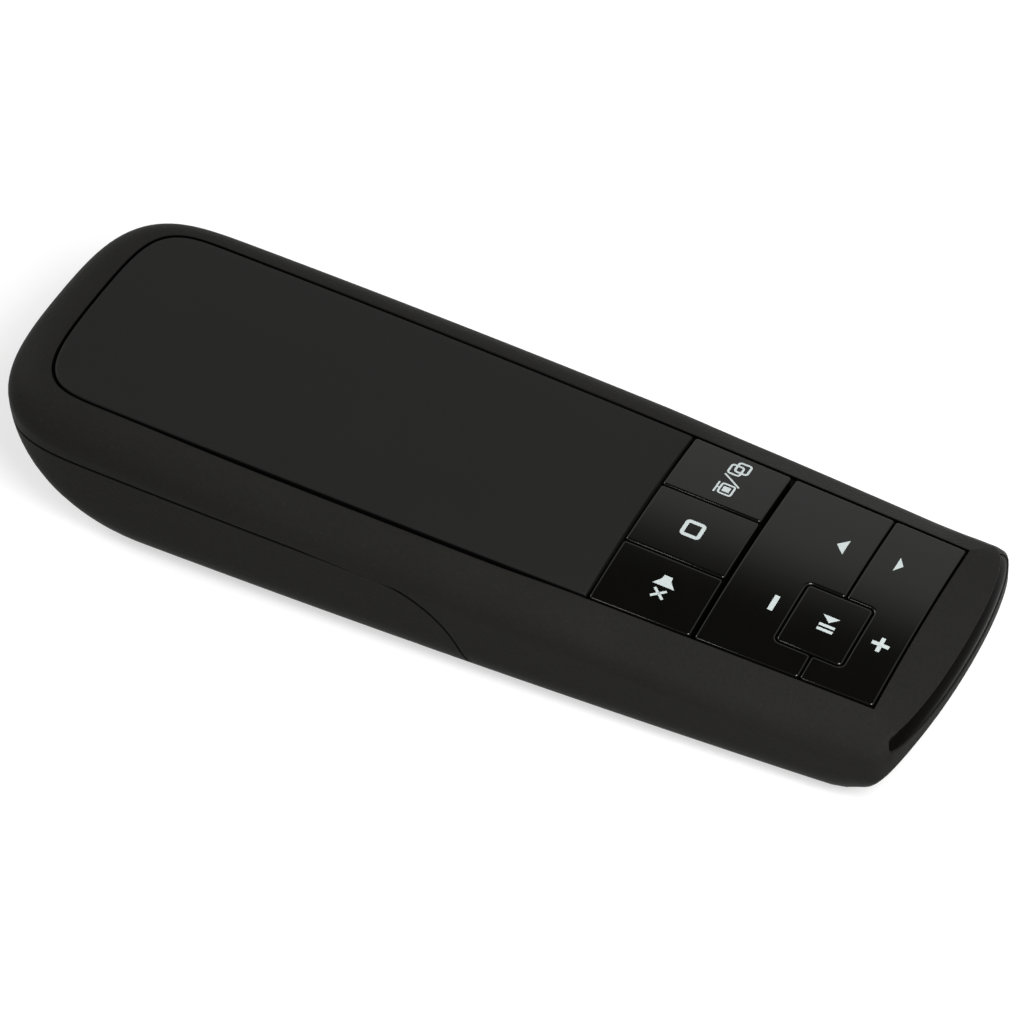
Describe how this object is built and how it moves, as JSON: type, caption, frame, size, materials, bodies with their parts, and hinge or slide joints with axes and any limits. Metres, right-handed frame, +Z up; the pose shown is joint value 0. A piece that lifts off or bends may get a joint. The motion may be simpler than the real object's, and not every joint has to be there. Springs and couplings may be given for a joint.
{
  "type": "wireless presentation clicker",
  "caption": "Slim handheld presentation remote with a crowned grip panel, a block of thumb keys, a smoked front window and a sliding battery door that also covers the stored receiver.",
  "frame": {"origin": "centre of the flat underside, on the surface the clicker lies on", "axes": "+X towards the tip with the window, +Y to the far side, +Z up through the keys"},
  "size_m": [0.126, 0.042, 0.0218],
  "materials": {
    "housing": "fine moulded texture, black",
    "grip": "soft satin, black",
    "underside": "fine moulded texture, black",
    "smoked_window": "smoked, clear gloss",
    "guide": "moulded grey",
    "keys": "polished black",
    "pin_steel": "drawn wire",
    "mat_rubber": "translucent grey silicone",
    "board": "green solder mask",
    "domes": "sprung nickel steel",
    "chip": "moulded black",
    "crystal_can": "plain can",
    "led_lens": "clear",
    "cell_sleeve": "printed sleeve, plain",
    "contacts": "nickel plated",
    "receiver_plastic": "fine moulded texture, black",
    "plug_steel": "pressed steel",
    "screw_steel": "zinc plated"
  },
  "bodies": {
    "housing": {"top_shell": "housing", "grip_panel": "grip", "base_shell": "underside", "front_window": "smoked_window", "key_guide": "guide", "pivot_pin": "pin_steel", "key_mat": "mat_rubber", "circuit_board": "board", "dome_switches": "domes", "radio_chip": "chip", "controller_chip": "chip", "crystal": "crystal_can", "status_led": "led_lens", "cell_left": "cell_sleeve", "cell_right": "cell_sleeve", "bridge_contact": "contacts", "plus_contact": "contacts", "minus_contact": "contacts", "receiver_body": "receiver_plastic", "receiver_plug": "plug_steel", "housing_screws": "screw_steel", "board_screws": "screw_steel"},
    "battery_door": {"battery_door": "underside"},
    "screen_switch_key": {"screen_switch_key": "keys"},
    "blank_screen_key": {"blank_screen_key": "keys"},
    "mute_key": {"mute_key": "keys"},
    "play_key": {"play_key": "keys"},
    "back_rocker": {"back_rocker": "keys"},
    "forward_rocker": {"forward_rocker": "keys"}
  },
  "joints": [
    {"name": "door_slide", "type": "slide", "parent": "housing", "child": "battery_door", "axis": [-1, 0, 0], "range_m": [0, 0.072]},
    {"name": "screen_switch_press", "type": "slide", "parent": "housing", "child": "screen_switch_key", "axis": [-0.0767, 0, -0.9971], "range_m": [0, 0.0005], "stiffness_N_per_m": 800, "springref_m": -0.0004},
    {"name": "blank_screen_press", "type": "slide", "parent": "housing", "child": "blank_screen_key", "axis": [-0.0767, 0, -0.9971], "range_m": [0, 0.0005], "stiffness_N_per_m": 800, "springref_m": -0.0004},
    {"name": "mute_press", "type": "slide", "parent": "housing", "child": "mute_key", "axis": [-0.0767, 0, -0.9971], "range_m": [0, 0.0005], "stiffness_N_per_m": 800, "springref_m": -0.0004},
    {"name": "play_press", "type": "slide", "parent": "housing", "child": "play_key", "axis": [-0.0767, 0, -0.9971], "range_m": [0, 0.0005], "stiffness_N_per_m": 800, "springref_m": -0.0004},
    {"name": "back_rock", "type": "hinge", "parent": "housing", "child": "back_rocker", "pos_m": [0.0401, 0.0006, 0.01202], "axis": [0.9971, 0, -0.0767], "range_deg": [-2.2, 2.2], "stiffness_Nm_per_rad": 0.3},
    {"name": "forward_rock", "type": "hinge", "parent": "housing", "child": "forward_rocker", "pos_m": [0.05137, 0.0006, 0.01115], "axis": [0.9971, 0, -0.0767], "range_deg": [-2.2, 2.2], "stiffness_Nm_per_rad": 0.3}
  ]
}
